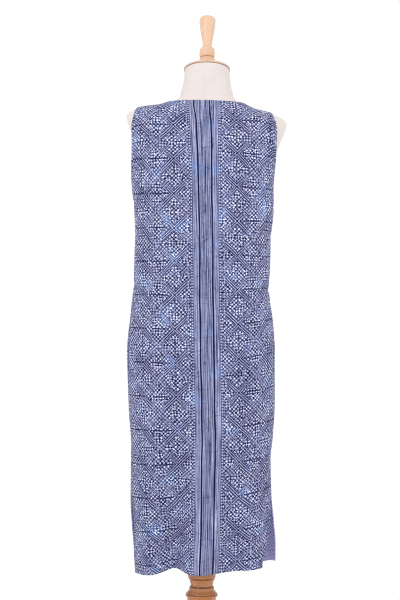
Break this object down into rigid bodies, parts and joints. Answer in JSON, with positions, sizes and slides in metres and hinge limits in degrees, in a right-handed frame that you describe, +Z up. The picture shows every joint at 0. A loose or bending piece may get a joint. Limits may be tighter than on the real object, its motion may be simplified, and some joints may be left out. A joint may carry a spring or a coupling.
{
  "type": "sheath dress on a dress form",
  "caption": "Sleeveless straight sheath dress in patterned cotton with side vents and in-seam pockets, hanging filled out on a limbless dress form with a turned wooden stand.",
  "frame": {"origin": "middle of the stand base's underside", "axes": "+Z up; the dress's back, which the picture shows, faces -Y and its front faces +Y; +X is the picture's right"},
  "size_m": [0.392, 0.35, 1.6471],
  "materials": {
    "batik_cotton": "plain-weave cotton, indigo and white wax-resist pattern, matt",
    "form_cover": "off-white stretched cover, matt",
    "pale_wood": "light turned wood, satin",
    "brown_wood": "brown turned wood, satin"
  },
  "bodies": {
    "root": {"dress_back": "batik_cotton", "dress_front": "batik_cotton", "pocket_left": "batik_cotton", "pocket_right": "batik_cotton", "form_torso": "form_cover", "neck_cap": "pale_wood", "finial": "pale_wood", "stand_post": "brown_wood", "stand_base": "brown_wood"}
  },
  "joints": []
}
